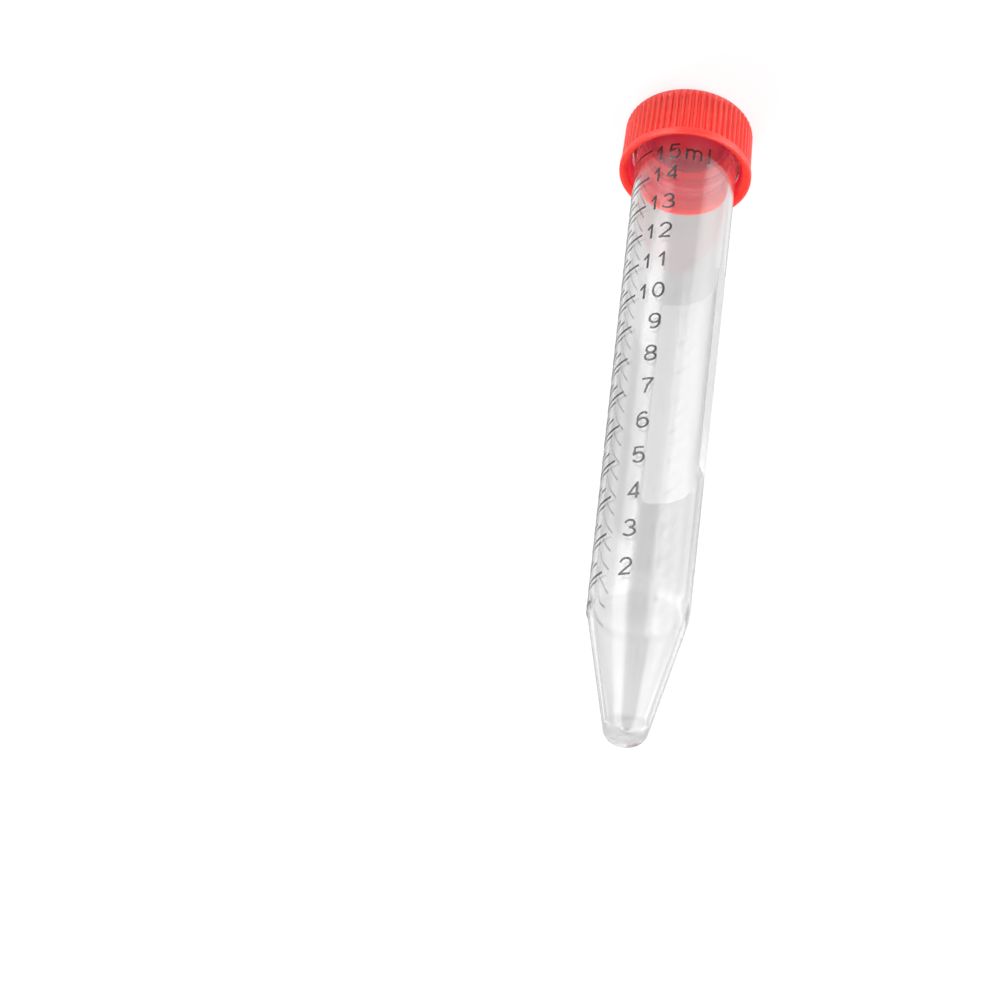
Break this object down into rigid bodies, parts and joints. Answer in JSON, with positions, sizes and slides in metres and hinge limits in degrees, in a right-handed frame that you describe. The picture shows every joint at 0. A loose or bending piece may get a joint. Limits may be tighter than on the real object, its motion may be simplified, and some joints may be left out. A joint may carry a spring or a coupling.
{
  "type": "conical centrifuge tube with screw cap",
  "caption": "Clear conical laboratory tube with a printed volume scale, a writing patch and a ribbed screw cap.",
  "frame": {"origin": "middle of the cap's flat top, which the part stands on", "axes": "+Z along the tube's axis from the cap to the conical tip; -Y is the side that shows the numbers beside the scale"},
  "size_m": [0.0218, 0.0218, 0.1199],
  "materials": {
    "cap": "satin moulded polyethylene",
    "tube": "clear moulded polypropylene",
    "scale_ink": "printed ink",
    "patch_ink": "printed matt ink"
  },
  "bodies": {
    "cap": {"screw_cap": "cap"},
    "tube": {"tube_body": "tube", "scale_lines": "scale_ink", "scale_numbers": "scale_ink", "writing_patch": "patch_ink"}
  },
  "joints": [
    {"name": "cap_pull", "type": "slide", "parent": "cap", "child": "tube", "axis": [0, 0, 1], "range_m": [0, 0.03]}
  ]
}
